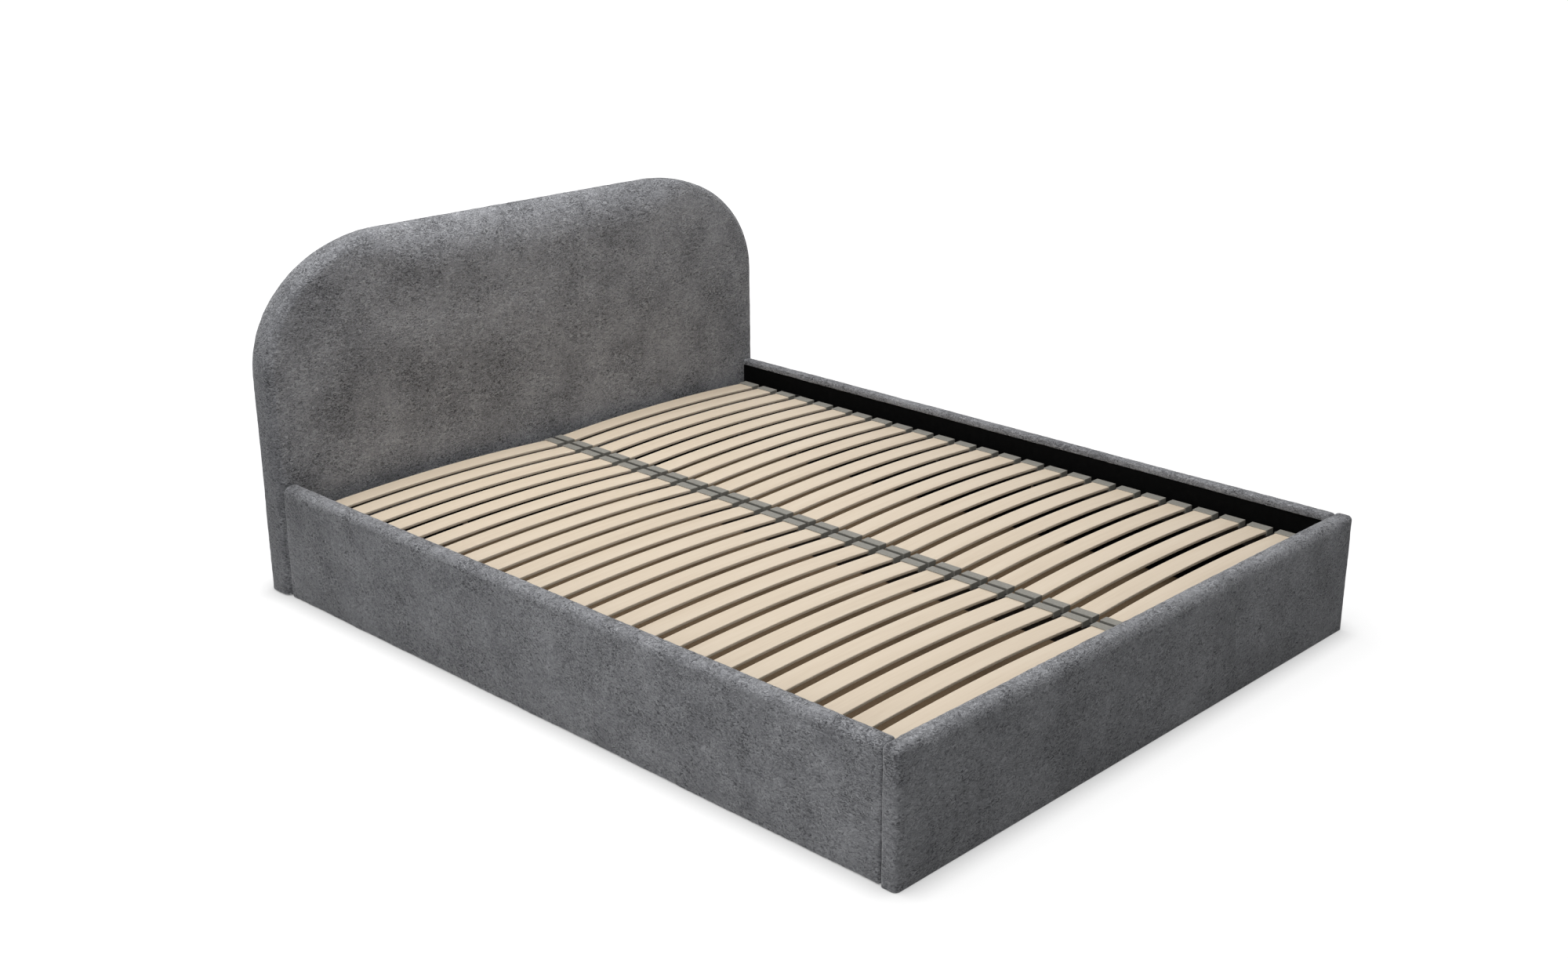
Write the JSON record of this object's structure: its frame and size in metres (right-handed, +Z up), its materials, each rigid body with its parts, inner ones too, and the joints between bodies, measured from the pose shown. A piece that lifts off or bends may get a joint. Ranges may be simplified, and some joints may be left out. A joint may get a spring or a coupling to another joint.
{
  "type": "upholstered storage bed",
  "caption": "Upholstered panel bed with a tall round-cornered headboard, padded rails to the floor, and a sprung-slat base that lifts over a storage box.",
  "frame": {"origin": "on the floor, at the middle of the bed's box", "axes": "+Z up, +Y from the foot to the headboard, +X to the right seen from the foot"},
  "size_m": [1.697, 2.15, 0.899],
  "materials": {
    "grey_plush": "short-nap mottled plush",
    "black_board": "black lined board",
    "dust_cloth": "non-woven dust cloth",
    "foam": "upholstery foam",
    "pine": "planed softwood",
    "hardboard": "hard fibreboard",
    "black_plastic": "moulded",
    "zinc_steel": "zinc plated",
    "black_steel": "black powder coat",
    "chromed_rod": "polished",
    "slat_wood": "birch ply, pale film face",
    "grey_plastic": "moulded, taupe grey"
  },
  "bodies": {
    "bed_box": {"centre_bottom_batten": "pine", "corner_brackets": "black_steel", "corner_screws": "zinc_steel", "floor_glides": "black_plastic", "foot_board": "black_board", "foot_cover": "grey_plush", "foot_rest_ledge": "black_board", "head_wall_board": "black_board", "headboard_back_cloth": "dust_cloth", "headboard_bolts": "zinc_steel", "headboard_cover": "grey_plush", "headboard_face_board": "hardboard", "headboard_foam": "foam", "headboard_frame": "pine", "hinge_plate_screws": "zinc_steel", "ledge_screws": "zinc_steel", "left_bottom_batten": "pine", "left_bottom_board": "hardboard", "left_hinge_plate": "black_steel", "left_pivot_bolt": "zinc_steel", "left_rail_board": "black_board", "left_rail_cover": "grey_plush", "left_rest_ledge": "black_board", "lower_strut_studs": "zinc_steel", "pivot_nuts": "zinc_steel", "right_bottom_batten": "pine", "right_bottom_board": "hardboard", "right_hinge_plate": "black_steel", "right_pivot_bolt": "zinc_steel", "right_rail_board": "black_board", "right_rail_cover": "grey_plush", "right_rest_ledge": "black_board"},
    "slat_base": {"left_side_tube": "black_steel", "right_side_tube": "black_steel", "head_cross_tube": "black_steel", "foot_cross_tube": "black_steel", "centre_beam": "black_steel", "tube_end_plugs": "black_plastic", "left_slats": "slat_wood", "right_slats": "slat_wood", "left_outer_holders": "grey_plastic", "right_outer_holders": "grey_plastic", "left_centre_holders": "grey_plastic", "right_centre_holders": "grey_plastic", "left_lift_arm": "black_steel", "right_lift_arm": "black_steel", "lift_arm_bolts": "zinc_steel", "lift_arm_nuts": "zinc_steel", "upper_strut_studs": "zinc_steel"},
    "left_cylinder": {"left_strut_cylinder": "black_steel"},
    "right_cylinder": {"right_strut_cylinder": "black_steel"},
    "left_rod": {"left_strut_rod": "chromed_rod"},
    "right_rod": {"right_strut_rod": "chromed_rod"}
  },
  "joints": [
    {"name": "base_lift", "type": "hinge", "parent": "bed_box", "child": "slat_base", "pos_m": [0, 0.787, 0.21], "axis": [-1, 0, 0], "range_deg": [0, 45]},
    {"name": "left_cylinder_swing", "type": "hinge", "parent": "bed_box", "child": "left_cylinder", "pos_m": [-0.785, 0.74559, 0.05545], "axis": [-1, 0, 0], "range_deg": [0, 22.5]},
    {"name": "left_rod_swing", "type": "hinge", "parent": "slat_base", "child": "left_rod", "pos_m": [-0.785, 0.627, 0.21], "axis": [-1, 0, 0], "range_deg": [-22.5, 0]},
    {"name": "right_cylinder_swing", "type": "hinge", "parent": "bed_box", "child": "right_cylinder", "pos_m": [0.785, 0.74559, 0.05545], "axis": [-1, 0, 0], "range_deg": [0, 22.5]},
    {"name": "right_rod_swing", "type": "hinge", "parent": "slat_base", "child": "right_rod", "pos_m": [0.785, 0.627, 0.21], "axis": [-1, 0, 0], "range_deg": [-22.5, 0]}
  ],
  "couplings": [
    {"joint": "left_cylinder_swing", "follows": "base_lift", "ratio": 0.5},
    {"joint": "left_rod_swing", "follows": "base_lift", "ratio": -0.5},
    {"joint": "right_cylinder_swing", "follows": "base_lift", "ratio": 0.5},
    {"joint": "right_rod_swing", "follows": "base_lift", "ratio": -0.5}
  ]
}
